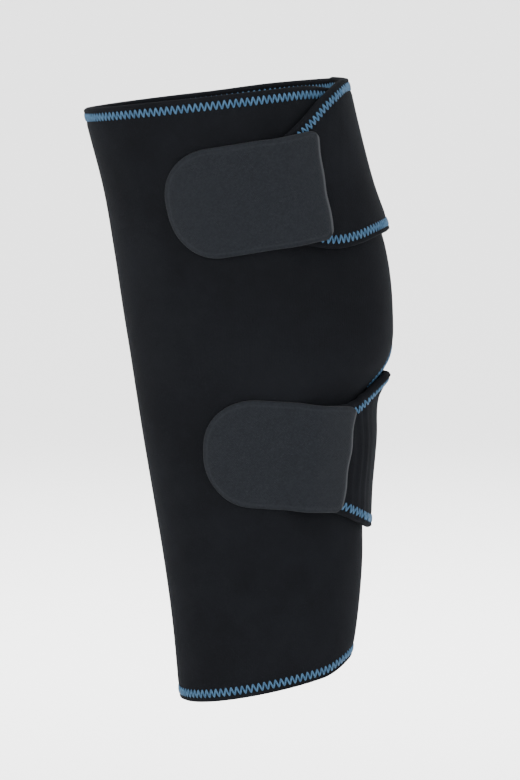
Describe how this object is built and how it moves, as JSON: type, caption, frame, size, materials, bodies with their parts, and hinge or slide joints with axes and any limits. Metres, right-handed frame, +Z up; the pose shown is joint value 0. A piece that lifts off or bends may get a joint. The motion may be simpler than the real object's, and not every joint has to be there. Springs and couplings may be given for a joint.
{
  "type": "neoprene calf support",
  "caption": "Neoprene calf support, a panel wrapped round the lower leg with ears closed by hook tabs on the outer side",
  "frame": {"origin": "on the leg's axis at half the height of the support, where the leg holds it", "axes": "+Z up the leg, -Y to the shin, +X to the wearer's outer side, where the tabs close"},
  "size_m": [0.1117, 0.1326, 0.2521],
  "materials": {
    "neoprene": "matte black knit laminated on foam rubber, blue zigzag stitching near the edges",
    "hook_tab": "matte charcoal hook tape with a welded rim"
  },
  "bodies": {
    "root": {"neoprene_wrap": "neoprene", "upper_tab": "hook_tab", "lower_tab": "hook_tab"}
  },
  "joints": []
}
